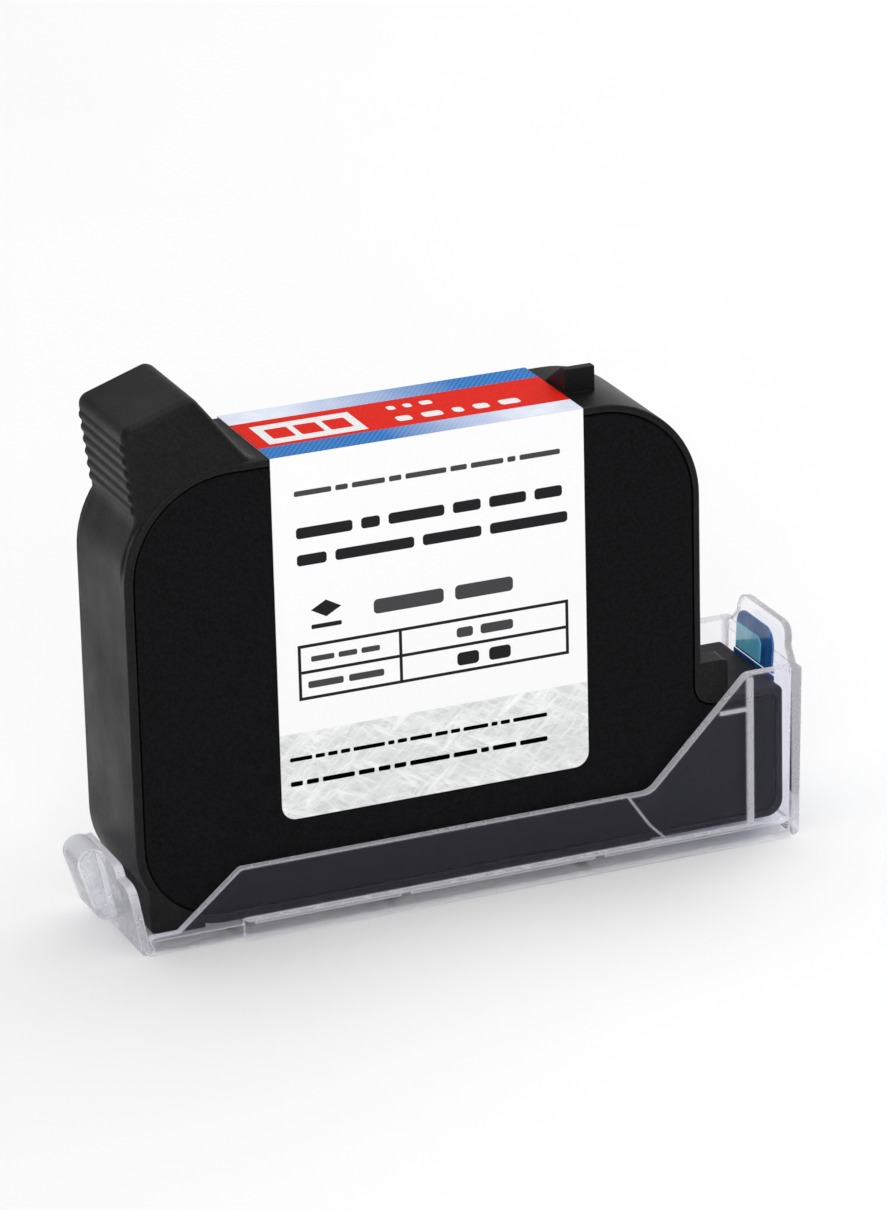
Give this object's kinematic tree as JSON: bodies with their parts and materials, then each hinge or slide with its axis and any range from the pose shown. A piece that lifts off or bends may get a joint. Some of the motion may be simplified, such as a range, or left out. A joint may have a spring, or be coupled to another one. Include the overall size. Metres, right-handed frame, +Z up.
{
  "type": "inkjet coder cartridge",
  "caption": "Black slab-shaped thermal inkjet cartridge for date coding, with a thumb handle, printhead foot and wrapped label, standing in a clear protective clip.",
  "frame": {"origin": "on the surface under the clip, in the middle of the overall length and thickness", "axes": "+X along the length towards the printhead foot, -Y towards the labelled front, +Z up"},
  "size_m": [0.1008, 0.0232, 0.074],
  "materials": {
    "clear_plastic": "clear moulded, polished",
    "black_moulding": "fine spark-eroded texture",
    "black_cover": "satin",
    "inner_moulding": "as moulded",
    "bag_film": "clear laminate film",
    "sprung_steel": "rolled",
    "filter_mesh": "woven mesh",
    "guard_plastic": "as moulded",
    "silicon": "polished",
    "gold": "plated",
    "polyimide": "amber film",
    "sealant": "cured bead",
    "plug_steel": "polished",
    "label_paper": "gloss coated, printed",
    "blue_tape": "glossy film",
    "cyan_film": "glossy film"
  },
  "bodies": {
    "clip": {"clip_tray": "clear_plastic"},
    "lever": {"release_lever": "clear_plastic"},
    "cartridge": {"cartridge_frame": "black_moulding", "inner_frame": "inner_moulding", "side_cover_front": "black_cover", "side_cover_back": "black_cover", "bag_film_front": "bag_film", "bag_film_back": "bag_film", "bow_spring": "sprung_steel", "filter_screen_front": "filter_mesh", "filter_screen_back": "filter_mesh", "fill_port_plug": "plug_steel", "printhead_die": "silicon", "nozzle_plate": "gold", "contact_pads": "gold", "flex_circuit": "polyimide", "encapsulant_beads": "sealant", "label": "label_paper", "nozzle_tape": "blue_tape"},
    "plate_front": {"pressure_plate_front": "sprung_steel", "edge_guard_front": "guard_plastic"},
    "plate_back": {"pressure_plate_back": "sprung_steel", "edge_guard_back": "guard_plastic"},
    "tape_tab": {"pull_tab": "blue_tape", "pull_tab_panel": "cyan_film"}
  },
  "joints": [
    {"name": "cartridge_lift", "type": "slide", "parent": "clip", "child": "cartridge", "axis": [0, 0, 1], "range_m": [0, 0.03]},
    {"name": "lever_flex", "type": "hinge", "parent": "clip", "child": "lever", "pos_m": [-0.0446, 0, 0.0009], "axis": [0, -1, 0], "range_deg": [0, 12], "stiffness_Nm_per_rad": 0.05},
    {"name": "plate_front_slide", "type": "slide", "parent": "cartridge", "child": "plate_front", "axis": [0, 1, 0], "range_m": [0, 0.0045], "stiffness_N_per_m": 100, "springref_m": -0.002, "deforming": ["bow_spring"]},
    {"name": "plate_back_slide", "type": "slide", "parent": "cartridge", "child": "plate_back", "axis": [0, -1, 0], "range_m": [0, 0.0045]},
    {"name": "pull_tab_bend", "type": "hinge", "parent": "cartridge", "child": "tape_tab", "pos_m": [0.04772, 0, 0.0216], "axis": [0, -1, 0], "range_deg": [0, 60], "stiffness_Nm_per_rad": 0.0005}
  ],
  "couplings": [
    {"joint": "plate_back_slide", "follows": "plate_front_slide", "ratio": 1}
  ]
}
